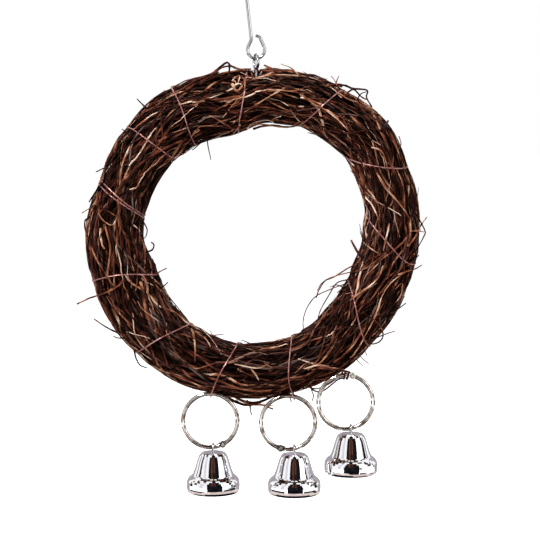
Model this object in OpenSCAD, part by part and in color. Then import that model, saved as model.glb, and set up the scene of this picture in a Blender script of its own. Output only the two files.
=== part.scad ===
// Wreath swing for a small bird: a ring of wound vines on a wire hanger, with three bells on hinged rings.
// +X is right and +Z is up for someone who looks at the front, which faces -Y.
// The origin is where the cage bar bears in the crook of the hanger.

/* [Hanger] */
// Diameter of the hanger wire
hanger_wire = 1.6; // [1.2:0.1:2.2]
// Inner radius of the crook that goes over the cage bar
crook_r = 4.7; // [4:0.1:8]
// Length of the straight shank
shank_len = 26.5; // [20:0.5:60]
// Lean of the shank, in degrees
shank_lean = 6.5; // [3:0.5:10]
// Inner radius of the bottom of the pear-shaped eye
pear_r = 3.4; // [3:0.1:5]

/* [Screw eye] */
// Diameter of the eye's wire
eye_wire = 1.5; // [1.2:0.1:2]
// Inner radius of the eye
eye_r = 2.7; // [2.4:0.1:4]
// Diameter of the screwed shank
screw_d = 2; // [1.6:0.1:2.4]
// Length of the shank below the eye
screw_len = 13; // [9:0.5:16]

/* [Wreath] */
// Radius of the circle that runs through the middle of the bundle
wreath_r = 68.5; // [60:0.5:90]
// Radius of the bundle, to the outside of the vines
bundle_r = 14.5; // [13:0.1:17]
// Diameter of the vines that lie inside
inner_vine = 2.8; // [2:0.1:3]
// Diameter of the vines that lie outside
outer_vine = 2.2; // [1.6:0.1:2.4]
// Air between one layer of vines and the next
lay_gap = 0.3; // [0.2:0.05:0.5]
// Diameter of the binding wire
binding_wire_d = 0.8; // [0.6:0.1:1]

/* [Rings that open] */
// Inner radius of a ring
ring_r = 12.5; // [11:0.1:14]
// Diameter of the ring's wire
ring_wire = 2.1; // [1.8:0.1:2.4]
// Radius of the flattened ends at the hinge
lug_r = 1.55; // [1.3:0.05:1.7]
// Thickness of one flattened end
lug_thick = 0.9; // [0.7:0.05:1]
// Diameter of the rivet's shaft
rivet_d = 1.1; // [0.8:0.1:1.4]

/* [Bells] */
// Radius of the bell's rim
bell_rim_r = 13.2; // [11:0.1:14]
// Height of the bell
bell_h = 19.7; // [16:0.1:22]
// Thickness of the bell's sheet
bell_wall = 0.6; // [0.4:0.05:0.9]
// Diameter of the link's wire
link_wire = 1.1; // [0.9:0.05:1.3]
// Diameter of the clapper's ball
clapper_ball = 6; // [4:0.2:7]
// Diameter of the clapper's stem and eye wire
clapper_wire = 0.8; // [0.6:0.05:0.9]

/* [Hidden] */
VINES = [1 : 8];
RINGS = [1 : 3];
$fn = 64;

// Colours
STEEL = [0.78, 0.79, 0.8];
NICKEL = [0.66, 0.62, 0.55];
CHROME = [0.88, 0.88, 0.9];
COPPER = [0.6, 0.36, 0.33];
CORE_BROWN = [0.12, 0.06, 0.04];
VINE_BROWNS = [[0.3, 0.15, 0.09], [0.38, 0.19, 0.11], [0.24, 0.12, 0.08], [0.33, 0.18, 0.12]];

// Clearances
running_gap = 0.05;
rest_gap = 0.12;
lie_gap = 0.3;
overrun = 0.5;
seam = 0.03;
bend_share = 0.98;

// Hanger: one wire that runs from the crook's tip over the bar and down to the pear.
// A run is a straight length, then a bend of the given radius through the given turn.
crook_mean_r = crook_r + hanger_wire / 2;
crook_wrap = 95;
tip_flare = 40;
tip_len = crook_mean_r * 0.25;
tip_bend_r = hanger_wire;
pear_mean_r = pear_r + hanger_wire / 2;
pear_flare = 24.5;
pear_left_len = pear_mean_r * 0.76;
pear_right_len = pear_mean_r * 1.05;
pear_end_turn = 45;
pear_end_len = pear_mean_r * 0.3;
neck_bend_r = hanger_wire;
hanger_runs = [
    [tip_len, tip_bend_r, tip_flare],
    [tip_len, crook_mean_r, -(crook_wrap + 90 + shank_lean)],
    [shank_len, neck_bend_r, shank_lean + pear_flare],
    [pear_left_len, pear_mean_r, -(180 + 2 * pear_flare)],
    [pear_right_len, neck_bend_r, -pear_end_turn],
    [pear_end_len, neck_bend_r, 0]
];
PEAR_RUN = 3;
tip_from_top = [[0, crook_mean_r, crook_wrap], [tip_len, tip_bend_r, -tip_flare], [tip_len, tip_bend_r, 0]];

// Position [x, z] and heading after a run, for a wire that lies in the XZ plane. Heading 0 is up and
// heading 90 is +X.
function ahead_of(at, ahead, across) = [
    at[0] + ahead * sin(at[2]) + across * cos(at[2]),
    at[1] + ahead * cos(at[2]) - across * sin(at[2])
];
function run_end(at, run) =
    let (side = sign(run[2]))
    concat(
        ahead_of(at, run[0] + run[1] * sin(abs(run[2])), side * run[1] * (1 - cos(run[2]))),
        [at[2] + run[2]]
    );
function wire_at(start, runs, count) =
    count == 0 ? start : run_end(wire_at(start, runs, count - 1), runs[count - 1]);

crook_top = [0, hanger_wire / 2, 90];
hanger_tip = wire_at(crook_top, tip_from_top, len(tip_from_top));
hanger_start = [hanger_tip[0], hanger_tip[1], hanger_tip[2] + 180];
pear_mid = ahead_of(wire_at(hanger_start, hanger_runs, PEAR_RUN), pear_left_len, -pear_mean_r);
pear_bottom = pear_mid - [0, pear_mean_r];

// Screw eye: it hangs on the bottom of the pear, turned a little from edge-on
eye_mean_r = eye_r + eye_wire / 2;
eye_yaw = 17;
eye_x = pear_bottom[0];
eye_z = pear_bottom[1] + hanger_wire / 2 + rest_gap - eye_r;
screw_tip_len = screw_d;

// Wreath: its circle lies in the XZ plane, and the eye stands a little to the right of its middle
eye_side = 2.4;
eye_lift = bundle_r + eye_mean_r * 0.78;
wreath_x = eye_x - eye_side;
wreath_z = eye_z - eye_lift - wreath_r;
wreath_mid = [wreath_x, 0, wreath_z];
eye_angle = 90 - asin(eye_side / wreath_r);

// Lay of the vines: stations go round the wreath, lanes lie side by side round the bundle
LOOP_STATIONS = 24;
LANES = 11;
TUBE_SIDES = 6;
VINES_PER_LAYER = 4;
LAYER_STATIONS = LANES * LOOP_STATIONS;
station_turn = 360 / LOOP_STATIONS;
lane_turn = 360 / LANES;
lane_shifts = [4, -3];
lane_wanders = [3.5, 6];
outer_lay_r = bundle_r - outer_vine / 2;
inner_lay_r = outer_lay_r - outer_vine / 2 - lay_gap - inner_vine / 2;
station_sag = (wreath_r + bundle_r) * (1 - cos(station_turn / 2));
core_r = inner_lay_r - inner_vine / 2 - station_sag - lay_gap / 2;
vine_ds = [inner_vine, outer_vine];
lay_rs = [inner_lay_r, outer_lay_r];
tip_share = 0.55;
root_share = 0.12;

// Binding wire: the angle round the wreath where each pass over the front leaves the outer edge, and where
// it comes to the inner edge
WIRE_PASSES = [
    [91.3, 94.8], [118, 121.6], [138.6, 134.8], [160, 169], [196, 203.8], [225.4, 235],
    [255, 261], [283.4, 289], [317.4, 335.5], [350, 367.5], [384, 400], [418, 427]
];
WIRE_STATIONS = 16;
wire_step = 360 / WIRE_STATIONS;
binding_r = bundle_r + binding_wire_d / 2 + 2 * lay_gap + bundle_r * (1 - cos(wire_step / 2));

// Rings: each hangs from a point beside the bundle, given by the angle round the wreath, the angle towards
// the front and the slack between the bundle and the ring
ring_mean_r = ring_r + ring_wire / 2;
hang_arounds = [256.1, 284.6, 305.9];
hang_fronts = [38, 31.4, 33.5];
hang_slacks = [0.1, 1, 4.7];
hang_ring_angles = [85.4, 79.4, 76.5];
hinge_angles = [297, 254, 76.5];
hung_sides = [1, -1, 1];
bell_angles = [275.7, 283.2, 281.4];
hang_rs = [for (slack = hang_slacks) bundle_r + ring_wire / 2 + slack];
lap_turn = 3.5;
wire_end_turn = 2 * asin((lug_r + lie_gap) / ring_mean_r / 2);
tongue_turn = wire_end_turn + 2 * asin(ring_wire / ring_mean_r / 2);
rivet_head_r = rivet_d;
rivet_head_h = rivet_d / 3;
rivet_dome_share = 0.7;

// Turns of the binding wire that go over a ring's wire and through the ring
RING_PASSES = [6, 7];
bulge_offsets = [-10, -5, 0, 5, 10];
bulge_clear = ring_wire / 2 + binding_wire_d / 2 + lie_gap;
bulge_shares = [-0.278, 0.8, 1.244, 0.8, -0.278];

// Link and clapper, measured down from the ring's wire
link_mean_r = (ring_wire + link_wire) / 2 + rest_gap * 2.5;
link_top = (ring_wire + link_wire) / 2 + rest_gap;
crown_drop = ring_wire / 2 + link_wire * 1.35;
link_reach = link_wire * 2.1;
link_bottom = crown_drop + bell_wall + link_reach;
link_straight = link_top + link_bottom - 2 * link_mean_r;
clapper_eye_r = link_wire / 2 + clapper_wire;
clapper_eye_drop = clapper_eye_r - clapper_wire / 2 - link_wire / 2 - rest_gap;
clapper_len = bell_h * 0.55;

// Bell outline: one curve from the flat crown down the waist, one out to the lip and one in to the rim. Each
// has four control points, as shares of the radius and the height, and shares its last with the next curve.
bell_shares = [
    [0.36, 0], [0.606, 0], [0.576, 0.28], [0.773, 0.558],
    [0.814, 0.617], [1, 0.629], [1, 0.792],
    [1, 0.914], [0.996, 0.964], [0.962, 1]
];
BELL_CURVES = 3;
CURVE_STEPS = 7;

function unit(v) = v / norm(v);
function mix(a, b, share) = a + (b - a) * share;
function torus_outward(around, front) = [cos(front) * cos(around), -sin(front), cos(front) * sin(around)];
function torus_point(around, front, r) =
    wreath_mid + wreath_r * [cos(around), 0, sin(around)] + r * torus_outward(around, front);
function on_circle(middle, r, angle) = middle + r * [cos(angle), 0, sin(angle)];

// Position of ring k and of what hangs on it
function hang_point(k) = torus_point(hang_arounds[k - 1], hang_fronts[k - 1], hang_rs[k - 1]);
function ring_mid(k) = on_circle(hang_point(k), -ring_mean_r, hang_ring_angles[k - 1]);
function hinge_point(k) = on_circle(ring_mid(k), ring_mean_r, hinge_angles[k - 1]);
function bell_point(k) = on_circle(ring_mid(k), ring_mean_r, bell_angles[k - 1]);
function clapper_point(k) = bell_point(k) - [0, 0, link_bottom];

// Least air between stretches of one winding that lie more than so many points apart
function least_gap(path, d, apart) =
    let (last = len(path) - 1)
    min([for (i = [0 : last - apart], j = [i + apart : last]) norm(path[i] - path[j])]) - d;

// Tube of flat sides along a path. Outward holds one direction for each point, which turns with the tube.
function tube_ring(path, outward, r, sides, i) =
    let (
        last = len(path) - 1,
        along = unit(path[min(i + 1, last)] - path[max(i - 1, 0)]),
        up = unit(outward[i] - (outward[i] * along) * along),
        across = cross(along, up)
    )
    [for (k = [0 : sides - 1]) path[i] + r * (cos(360 * k / sides) * up + sin(360 * k / sides) * across)];
function tube_sides(rings, sides) = [
    for (i = [0 : rings - 2], k = [0 : sides - 1])
        let (
            a = i * sides + k,
            b = i * sides + (k + 1) % sides,
            c = a + sides,
            d = b + sides
        )
        each [[a, b, d], [a, d, c]]
];
function tube_ends(rings, sides) = [
    for (k = [1 : sides - 2])
        let (e = (rings - 1) * sides)
        each [[0, k + 1, k], [e, e + k, e + k + 1]]
];

module tube(path, outward, radii, sides) {
    points = [for (i = [0 : len(path) - 1]) each tube_ring(path, outward, radii[i], sides, i)];
    polyhedron(points, concat(tube_sides(len(path), sides), tube_ends(len(path), sides)));
}

// Round wire along a chain of straight runs and bends, from the origin along +Z, in the XZ plane. A bend is
// a little thinner than the wire, as in a bent wire, and each straight run reaches a seam's depth into it.
module bent_wire(d, runs, i = 0) {
    if (i < len(runs)) {
        straight = runs[i][0];
        r = runs[i][1];
        turn = runs[i][2];
        translate([0, 0, -seam])
            cylinder(d = d, h = straight + 2 * seam);
        if (turn != 0)
            translate([0, 0, straight])
                wire_bend(d * bend_share, r, turn);
        translate([sign(turn) * r * (1 - cos(turn)), 0, straight + r * sin(abs(turn))])
            rotate([0, turn, 0])
                bent_wire(d, runs, i + 1);
    }
}

// One bend that starts at the origin along +Z and turns towards +X, or towards -X for a negative turn
module wire_bend(d, r, turn) {
    translate([sign(turn) * r, 0, 0])
        rotate([90, 0, 0])
            rotate([0, 0, turn > 0 ? 180 - turn : 0])
                rotate_extrude(angle = abs(turn))
                    translate([r, 0])
                        circle(d = d);
}

module hanger_hook() {
    color(STEEL)
        translate([hanger_start[0], 0, hanger_start[1]])
            rotate([0, hanger_start[2], 0])
                bent_wire(hanger_wire, hanger_runs);
}

module screw_shank() {
    translate([eye_x, 0, eye_z - eye_mean_r - screw_len]) {
        translate([0, 0, screw_tip_len])
            cylinder(d = screw_d, h = screw_len - screw_tip_len);
        cylinder(d1 = screw_d / 4, d2 = screw_d, h = screw_tip_len);
    }
}

module screw_eye() {
    color(STEEL) {
        translate([eye_x, 0, eye_z])
            rotate([0, 0, eye_yaw])
                rotate([0, 90, 0])
                    rotate_extrude()
                        translate([eye_mean_r, 0])
                            circle(d = eye_wire);
        screw_shank();
    }
}

module vine_core() {
    color(CORE_BROWN)
        difference() {
            translate(wreath_mid)
                rotate([90, 0, 0])
                    rotate_extrude()
                        translate([wreath_r, 0])
                            circle(r = core_r);
            translate([eye_x, 0, eye_z - eye_mean_r - screw_len])
                cylinder(d = screw_d, h = screw_len);
        }
}

// Vine i is one slice of its layer's long winding, in which the lanes move aside a little with every loop
function vine_layer(i) = i > VINES_PER_LAYER ? 1 : 0;
function vine_first(i) = ((i - 1) % VINES_PER_LAYER) * LAYER_STATIONS / VINES_PER_LAYER;
function lane_start(layer) = lane_turn / 2 - lane_shifts[layer] * lane_turn * eye_angle / 360;
function vine_wander(i, around) =
    lane_wanders[vine_layer(i)] * sin(around * 1.37 + i * 77) * sin(around - eye_angle);
function vine_front(i, around) =
    let (layer = vine_layer(i))
    lane_start(layer) + lane_shifts[layer] * lane_turn * around / 360 + vine_wander(i, around);
function vine_stations(i) = [
    for (s = [vine_first(i) : vine_first(i) + LAYER_STATIONS / VINES_PER_LAYER - 1]) s * station_turn
];
function vine_path(i) = [
    for (around = vine_stations(i)) torus_point(around, vine_front(i, around), lay_rs[vine_layer(i)])
];
function vine_outward(i) = [for (around = vine_stations(i)) torus_outward(around, vine_front(i, around))];
function vine_radius(i, share) =
    vine_ds[vine_layer(i)] / 2 * (1 - (1 - tip_share) * max(0, (share - 1 + root_share) / root_share));

module vine(i) {
    stations = len(vine_stations(i));
    radii = [for (s = [0 : stations - 1]) vine_radius(i, s / (stations - 1))];
    echo(least_gap = least_gap(vine_path(i), vine_ds[vine_layer(i)], LOOP_STATIONS / 2), of_vine = i);
    color(VINE_BROWNS[i % len(VINE_BROWNS)])
        tube(vine_path(i), vine_outward(i), radii, TUBE_SIDES);
}

// Slack vine: it comes off one outer vine, passes in front of the third ring, through it and behind it, and
// ends on another outer vine. A carrier is the vine's number and the loop of its layer on which it lies.
loop_arounds = [288.5, 293, 298, 301.5, 303.8, 305.8, 308.5, 311.5, 314];
loop_root_carrier = [8, 10];
loop_tip_carrier = [6, 3];
loop_root_front = carrier_front(loop_root_carrier, loop_arounds[0]);
loop_tip_front = carrier_front(loop_tip_carrier, loop_arounds[8]);
loop_fronts = [loop_root_front, loop_root_front, 56, 46, 35, 24, 15, 18, loop_tip_front];
loop_shares = [0, 0.3, 0.66, 0.98, 1.12, 1.16, 0.72, 0.25, 0];
loop_seat_r = ring_mean_r - lug_r - outer_vine / 2 - 1.5 * lie_gap;
loop_seat = on_circle(ring_mid(3), loop_seat_r, hinge_angles[2] + 1);
loop_rest_r = bundle_r + outer_vine / 2 + lay_gap / 2;
loop_seat_out = norm([loop_seat[0] - wreath_x, loop_seat[2] - wreath_z]) - wreath_r;
loop_reach = norm([loop_seat_out, loop_seat[1]]) - loop_rest_r;
loop_rs = [for (share = loop_shares) loop_rest_r + loop_reach * share];
function carrier_front(carrier, around) =
    let (front = vine_front(carrier[0], around + 360 * carrier[1]))
    front - 360 * round(front / 360);

module vine_loop() {
    stations = [0 : len(loop_arounds) - 1];
    path = [for (i = stations) torus_point(loop_arounds[i], loop_fronts[i], loop_rs[i])];
    outward = [for (i = stations) torus_outward(loop_arounds[i], loop_fronts[i])];
    color(VINE_BROWNS[1])
        tube(path, outward, [for (i = stations) outer_vine / 2], TUBE_SIDES);
}

// Binding wire: turn t runs over the front and back behind the bundle to the start of the next turn
function wire_around(t, front) =
    let (
        pass = WIRE_PASSES[t],
        next = t + 1 < len(WIRE_PASSES) ? WIRE_PASSES[t + 1][0] : WIRE_PASSES[0][0] + 360
    )
    front < 180 ? mix(pass[0], pass[1], front / 180) : mix(pass[1], next, front / 180 - 1);
function plain_stations() = [for (s = [0 : WIRE_STATIONS - 1]) [s * wire_step, binding_r]];
function bulged_stations(k) =
    let (middle = hang_fronts[k - 1])
    concat(
        [for (s = plain_stations()) if (s[0] < middle + bulge_offsets[0]) s],
        [for (j = [0 : len(bulge_offsets) - 1])
            [middle + bulge_offsets[j], hang_rs[k - 1] + bulge_clear * bulge_shares[j]]],
        [for (s = plain_stations()) if (s[0] > middle + bulge_offsets[4]) s]
    );
function turn_stations(t) =
    t == RING_PASSES[0] ? bulged_stations(1) : t == RING_PASSES[1] ? bulged_stations(2) : plain_stations();
wire_stations = [
    for (t = [0 : len(WIRE_PASSES) - 1], s = turn_stations(t)) [wire_around(t, s[0]), s[0], s[1]]
];

module binding_wire() {
    path = [for (s = wire_stations) torus_point(s[0], s[1], s[2])];
    outward = [for (s = wire_stations) torus_outward(s[0], s[1])];
    echo(least_gap_of_binding_wire = least_gap(path, binding_wire_d, WIRE_STATIONS / 2));
    color(COPPER)
        tube(path, outward, [for (s = path) binding_wire_d / 2], TUBE_SIDES);
}

// Ring lying in the XY plane round its middle, with its hinge at angle 0 and this half on the +Y side
module ring_half(hole_d) {
    tongue_z = running_gap;
    difference() {
        union() {
            difference() {
                rotate([0, 0, wire_end_turn])
                    rotate_extrude(angle = 180 + lap_turn - wire_end_turn)
                        translate([ring_mean_r, 0])
                            circle(d = ring_wire);
                rotate([0, 0, 180 - lap_turn])
                    translate([ring_mean_r - ring_wire, 0, -ring_wire])
                        cube([2 * ring_wire, 2 * ring_wire, ring_wire + running_gap]);
            }
            translate([0, 0, tongue_z])
                linear_extrude(lug_thick)
                    ring_tongue();
        }
        translate([ring_mean_r, 0, -ring_wire])
            cylinder(d = hole_d, h = 2 * ring_wire);
    }
}

module ring_tongue() {
    far = tongue_turn;
    translate([ring_mean_r, 0])
        circle(r = lug_r);
    polygon([
        [ring_mean_r - lug_r, 0],
        [ring_mean_r + lug_r, 0],
        [(ring_mean_r + ring_wire / 4) * cos(far), (ring_mean_r + ring_wire / 4) * sin(far)],
        [(ring_mean_r - ring_wire / 4) * cos(far), (ring_mean_r - ring_wire / 4) * sin(far)]
    ]);
}

module in_ring_place(k) {
    translate(ring_mid(k))
        rotate([90, 0, 0])
            rotate([0, 0, hinge_angles[k - 1]])
                if (hung_sides[k - 1] > 0)
                    children();
                else
                    mirror([0, 1, 0])
                        children();
}

module ring_hung_half(k) {
    color(NICKEL)
        in_ring_place(k)
            ring_half(rivet_d);
}

module ring_gate(k) {
    color(NICKEL)
        in_ring_place(k)
            rotate([180, 0, 0])
                ring_half(rivet_d + 2 * running_gap);
}

module ring_rivet(k) {
    front = running_gap + lug_thick;
    back = -front - running_gap;
    dome_r = rivet_head_r * rivet_dome_share;
    color(STEEL)
        translate(hinge_point(k))
            rotate([90, 0, 0])
                rotate_extrude()
                    polygon([
                        [0, front + rivet_head_h], [dome_r, front + rivet_head_h], [rivet_head_r, front],
                        [rivet_d / 2, front], [rivet_d / 2, back],
                        [rivet_head_r, back], [dome_r, back - rivet_head_h], [0, back - rivet_head_h]
                    ]);
}

// Outline of the bell, with x as radius and y as height below the crown. Curve c runs from place c to place
// c + 1 along the outline.
function bell_corner(i) = [bell_shares[i][0] * bell_rim_r, -bell_shares[i][1] * bell_h];
function bell_curve(place) =
    let (c = min(floor(place), BELL_CURVES - 1), t = place - c, i = 3 * c)
    pow(1 - t, 3) * bell_corner(i) + 3 * t * pow(1 - t, 2) * bell_corner(i + 1)
    + 3 * t * t * (1 - t) * bell_corner(i + 2) + pow(t, 3) * bell_corner(i + 3);
function bell_heading(place) =
    let (c = min(floor(place), BELL_CURVES - 1), t = place - c, i = 3 * c)
    unit(
        pow(1 - t, 2) * (bell_corner(i + 1) - bell_corner(i))
        + 2 * t * (1 - t) * (bell_corner(i + 2) - bell_corner(i + 1))
        + t * t * (bell_corner(i + 3) - bell_corner(i + 2))
    );
function bell_inside(place) =
    let (way = bell_heading(place))
    bell_curve(place) + bell_wall * [way[1], -way[0]];

module bell_outline() {
    last = BELL_CURVES * CURVE_STEPS;
    outer = [for (i = [0 : last]) bell_curve(i / CURVE_STEPS)];
    inner = [for (i = [last : -1 : 0]) bell_inside(i / CURVE_STEPS)];
    polygon(concat([[0, 0]], outer, inner, [[0, -bell_wall]]));
}

module bell_shell(k) {
    color(CHROME)
        translate(bell_point(k) - [0, 0, crown_drop])
            difference() {
                rotate_extrude()
                    bell_outline();
                for (side = [-1, 1])
                    translate([0, side * link_mean_r, -bell_wall - overrun])
                        cylinder(d = link_wire, h = bell_wall + 2 * overrun);
            }
}

module bell_link(k) {
    color(STEEL)
        translate(bell_point(k) + [0, -link_mean_r, link_top - link_mean_r])
            rotate([180, 0, 90])
                bent_wire(link_wire, [
                    [link_straight, link_mean_r, 180],
                    [link_straight, link_mean_r, 180]
                ]);
}

module clapper(k) {
    color(STEEL)
        translate(clapper_point(k)) {
            translate([0, 0, -clapper_eye_drop])
                rotate([90, 0, 0])
                    rotate_extrude()
                        translate([clapper_eye_r, 0])
                            circle(d = clapper_wire);
            translate([0, 0, -clapper_len])
                cylinder(d = clapper_wire, h = clapper_len - clapper_eye_drop - clapper_eye_r);
            translate([0, 0, -clapper_len])
                sphere(d = clapper_ball);
        }
}

hanger_hook();
screw_eye();
vine_core();
vine_loop();
binding_wire();
for (i = VINES)
    vine(i);
for (k = RINGS) {
    ring_hung_half(k);
    ring_gate(k);
    ring_rivet(k);
    bell_shell(k);
    bell_link(k);
    clapper(k);
}
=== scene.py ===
# %% [markdown]
# # Wreath swing with three bells
# The solid model of this swing comes in as a frame: a wire hanger, a wreath and three belled rings, each on its
# joint. Its metal pieces have the real shapes and only need their finishes. Its wreath is a plain core with a few
# long vines, where the real one is a bundle of hundreds of crossing twigs. Sculpting or scattering could imitate
# that, but a twig is a tapered tube along a route, so the twigs are wound here as such tubes, round the same circle.

# %% Load the frame
import math

import bpy
import numpy as np
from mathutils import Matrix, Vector


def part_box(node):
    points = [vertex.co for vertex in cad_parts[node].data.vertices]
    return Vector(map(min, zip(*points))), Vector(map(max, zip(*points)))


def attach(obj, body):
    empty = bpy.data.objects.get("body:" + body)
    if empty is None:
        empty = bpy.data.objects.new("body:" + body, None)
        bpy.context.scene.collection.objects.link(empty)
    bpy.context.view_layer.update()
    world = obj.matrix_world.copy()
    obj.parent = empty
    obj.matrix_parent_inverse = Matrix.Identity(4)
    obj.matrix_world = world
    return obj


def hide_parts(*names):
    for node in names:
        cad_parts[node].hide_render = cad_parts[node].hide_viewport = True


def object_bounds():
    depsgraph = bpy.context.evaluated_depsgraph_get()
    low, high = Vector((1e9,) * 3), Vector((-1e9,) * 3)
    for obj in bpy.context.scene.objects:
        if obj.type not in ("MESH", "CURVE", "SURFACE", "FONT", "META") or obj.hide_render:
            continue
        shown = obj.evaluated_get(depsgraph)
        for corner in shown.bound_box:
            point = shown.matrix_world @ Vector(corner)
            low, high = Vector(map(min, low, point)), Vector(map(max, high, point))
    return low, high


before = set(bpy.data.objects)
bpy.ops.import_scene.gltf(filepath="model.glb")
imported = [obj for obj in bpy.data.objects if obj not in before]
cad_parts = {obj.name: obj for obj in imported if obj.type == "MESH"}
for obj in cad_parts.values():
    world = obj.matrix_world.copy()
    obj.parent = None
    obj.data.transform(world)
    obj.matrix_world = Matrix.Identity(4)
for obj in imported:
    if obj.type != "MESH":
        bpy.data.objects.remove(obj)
solid_box = [list(corner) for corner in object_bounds()]
print("box of the solid model:", [[round(value, 4) for value in corner] for corner in solid_box])

# %% [markdown]
# Sizes could be typed in again, but then they would drift from the solids. The wreath's core is a torus, so its
# box gives the middle of the wreath and the circle that the bundle follows. The outermost vines are measured to
# compare the bundle of twigs with them, and the rings' boxes say where the twigs have to keep clear.

# %% Sizes of the wreath
MM = 0.001
VINES = 8
core_low, core_high = np.array(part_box("vine_core"))
wreath_mid = (core_low + core_high) / 2
core_r = (core_high[1] - core_low[1]) / 2
wreath_r = (core_high[0] - core_low[0]) / 2 - core_r
bundle_r = max(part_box(f"vine_{i}")[1][1] for i in range(1, VINES + 1))
print(f"wreath circle {wreath_r / MM:.1f} mm, bundle {bundle_r / MM:.1f} mm, core {core_r / MM:.1f} mm")

# %% Sizes of the hung rings
RINGS = (1, 2, 3)
ring_wire_r = (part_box("ring_1_half")[1][1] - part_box("ring_1_half")[0][1]) / 2
ring_mids, ring_rs = [], []
for k in RINGS:
    corners = np.array([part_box(f"ring_{k}_half"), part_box(f"ring_{k}_gate")])
    low, high = corners[:, 0].min(axis=0), corners[:, 1].max(axis=0)
    ring_mids.append((low + high) / 2)
    ring_rs.append((high[0] - low[0]) / 2 - ring_wire_r)
print("ring middles in mm:", [[round(value / MM, 1) for value in mid] for mid in ring_mids])

# %% [markdown]
# ## Camera
# The photograph was taken from nearly straight in front and a little above, from far enough that nothing bends.
# A long lens 80 cm away gives that. It comes first, because some twigs are placed by where the picture shows them.

# %% Camera
PICTURE = 540  # pixels across
RIGHT, AWAY, ABOVE, BELOW = 9.25, 800, 65, 17.5  # mm from the wreath's middle


def put(name, data):
    """New object in the scene, with this data."""
    thing = bpy.data.objects.new(name, data)
    bpy.context.scene.collection.objects.link(thing)
    return thing


view_width = 270 * MM
camera_place = wreath_mid + np.array([RIGHT, -AWAY, ABOVE]) * MM
camera_aim = wreath_mid + np.array([RIGHT, 0, -BELOW]) * MM
camera_data = bpy.data.cameras.new("camera")
camera_data.lens = camera_data.sensor_width * float(np.linalg.norm(camera_aim - camera_place)) / view_width
camera = put("camera", camera_data)
camera.location = camera_place
camera.rotation_euler = Vector(camera_aim - camera_place).to_track_quat("-Z", "Y").to_euler()
bpy.context.scene.camera = camera
bpy.context.scene.view_settings.view_transform = "Standard"
print(f"lens {camera_data.lens:.0f} mm")

# %% [markdown]
# ## Places on the bundle
# A place on the wreath has three numbers: the angle around the wreath from the right-hand side, the angle towards
# the front round the bundle (0 is the outer edge, 90 the front, 180 the inner edge), and the distance from the
# bundle's middle. The real wreath isn't a perfect ring: it leans out at the upper right, and the bundle is thicker
# at the top and at the lower left. Two tables say by how many millimetres, at every 20 degrees round the wreath: how
# far the bundle's middle leans out, and half the bundle's thickness.

# %% Outline of the real bundle
TABLE_STEP = 20
outline_leans = np.array([
    1.3, 3.2, 5.2, 3.9, 1.6, -2.4, -0.6, -0.9, -1.5, -0.2, -1.8, -1.0, -0.2, 0, 0, -0.4, -1.4, -1,
])
outline_halves = np.array([
    14.6, 13.5, 13.9, 13.4, 13.6, 15.9, 16.2, 14.7, 13.8, 14.6, 16.6, 16, 15, 14.2, 14.2, 14.3, 15, 15.2,
])


def around_table(values, around):
    """Value for an angle round the wreath, without corners between the table's angles."""
    share = np.mod(around, 360) / TABLE_STEP
    first = np.floor(share).astype(int)
    ease = (1 - np.cos(np.pi * (share - first))) / 2
    return values[first % len(values)] * (1 - ease) + values[(first + 1) % len(values)] * ease


print("bundle is", outline_halves.min() * 2, "to", outline_halves.max() * 2, "mm across")

# %% [markdown]
# The thin wire that ties the bundle pulls it in a little where it passes. Each pass over the front has its angle on
# the outer edge, on the front and on the inner edge, and behind the bundle the wire goes on to the next pass.

# %% Route of the tie wire
wire_passes = np.array([
    [91, 93.5, 97], [118, 118.8, 121.6], [138.6, 136.4, 134.8], [159.5, 163.2, 169.6], [161.2, 164.6, 170.8],
    [196.3, 195.9, 202.4], [225.4, 227.9, 235], [255.3, 257.5, 262.3], [284.6, 285.8, 291.5],
    [316.7, 322, 335.7], [350.2, 355.3, 371.5], [384.1, 388.1, 400.1], [418, 421.6, 427],
])
pass_count = len(wire_passes)


def wire_around(turn, front):
    """Angle round the wreath of the tie wire, for a turn's number and the angle towards the front."""
    here = wire_passes[turn]
    after = wire_passes[turn + 1][0] if turn + 1 < pass_count else wire_passes[0][0] + 360
    front = np.mod(front, 360)
    share = (1 - np.cos(np.radians(front))) / 2
    bow = here[1] - (here[0] + here[2]) / 2
    over = here[0] + (here[2] - here[0]) * share + 4 * bow * share * (1 - share)
    behind = here[2] + (after - here[2]) * (front / 180 - 1)
    return np.where(front < 180, over, behind)


PINCH, PINCH_WIDTH = 0.55, 3.5  # mm deep, and degrees to either side


def wire_pinch(around, front):
    """How far the tie wire pulls the twigs in at a place, in mm."""
    pull = 0
    for turn in range(pass_count):
        apart = np.mod(around - wire_around(turn, front) + 180, 360) - 180
        pull = np.maximum(pull, np.exp(-((apart / PINCH_WIDTH) ** 2)))
    return PINCH * pull


print(pass_count, "passes of wire")

# %% Surface of the bundle
DEPTH_HALF = 14.9  # mm from the middle to the front
NOTCH_SILL, NOTCH_WIDTH = 9.3, 1.75  # height of its level bottom in mm, and degrees to either side
eye_low, eye_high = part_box("screw_eye")
eye_x = (eye_low[0] + eye_high[0]) / 2
eye_around = 90 - np.degrees(np.arcsin((eye_x - wreath_mid[0]) / wreath_r))


def eye_hollow(around, front, plain):
    """Depth in mm of the notch that the screw eye's neck has made between the twigs in front of it."""
    apart = np.mod(around - eye_around + 180, 360) - 180
    toward = np.mod(front + 180, 360) - 180
    sill = NOTCH_SILL / np.cos(np.radians(np.clip(toward, 0, 60)))
    begun = np.clip((toward + 16) / 10, 0, 1)
    return np.clip(plain - sill, 0, None) * begun * np.exp(-((apart / NOTCH_WIDTH) ** 4))


def bundle_surface(around, front):
    """Distance from the bundle's middle to its outside, in mm."""
    half = around_table(outline_halves, around)
    turn = np.radians(front)
    plain = 1 / np.sqrt((np.cos(turn) / half) ** 2 + (np.sin(turn) / DEPTH_HALF) ** 2)
    return plain - wire_pinch(around, front) - eye_hollow(around, front, plain)


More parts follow.
